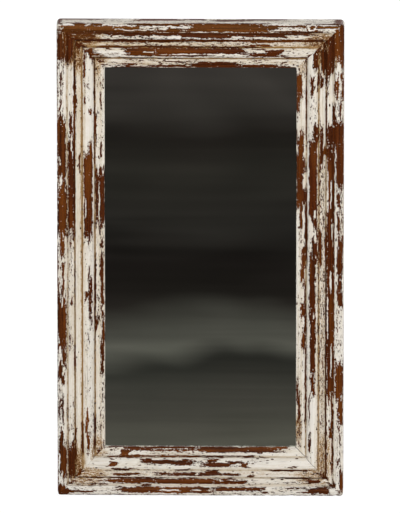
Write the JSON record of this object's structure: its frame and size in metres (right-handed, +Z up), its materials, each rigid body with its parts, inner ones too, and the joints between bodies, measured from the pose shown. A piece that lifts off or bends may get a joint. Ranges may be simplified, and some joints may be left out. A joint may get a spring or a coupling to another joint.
{
  "type": "wooden mirror",
  "caption": "Upright wall mirror in a mitred, moulded wooden frame with distressed white paint, a plywood back and folding ring hangers.",
  "frame": {"origin": "centre of the frame's back, on the backing board's rear face", "axes": "+Z up, +Y towards the wall, +X to the right as seen from the front"},
  "size_m": [0.45, 0.0445, 0.76],
  "materials": {
    "painted_wood": "white paint worn through to brown wood",
    "beech": "plain",
    "mirror_glass": "polished",
    "cork": "granular",
    "packing_board": "grey-brown board",
    "plywood": "sanded",
    "zinc_steel": "zinc plated",
    "bumper_rubber": "matte"
  },
  "bodies": {
    "frame": {"top_rail": "painted_wood", "bottom_rail": "painted_wood", "left_stile": "painted_wood", "right_stile": "painted_wood", "top_left_dowels": "beech", "top_right_dowels": "beech", "bottom_left_dowels": "beech", "bottom_right_dowels": "beech", "mirror_pane": "mirror_glass", "setting_pads": "cork", "side_spacers": "cork", "packing_sheet": "packing_board", "backing_board": "plywood", "backing_screws": "zinc_steel", "left_hanger_strap": "zinc_steel", "right_hanger_strap": "zinc_steel", "left_hanger_screws": "zinc_steel", "right_hanger_screws": "zinc_steel", "left_wall_bumper": "bumper_rubber", "right_wall_bumper": "bumper_rubber"},
    "left_ring": {"left_hanger_ring": "zinc_steel"},
    "right_ring": {"right_hanger_ring": "zinc_steel"}
  },
  "joints": [
    {"name": "left_ring_swing", "type": "hinge", "parent": "frame", "child": "left_ring", "pos_m": [-0.195, 0.0038, 0.19], "axis": [1, 0, 0], "range_deg": [0, 180]},
    {"name": "right_ring_swing", "type": "hinge", "parent": "frame", "child": "right_ring", "pos_m": [0.195, 0.0038, 0.19], "axis": [1, 0, 0], "range_deg": [0, 180]}
  ]
}
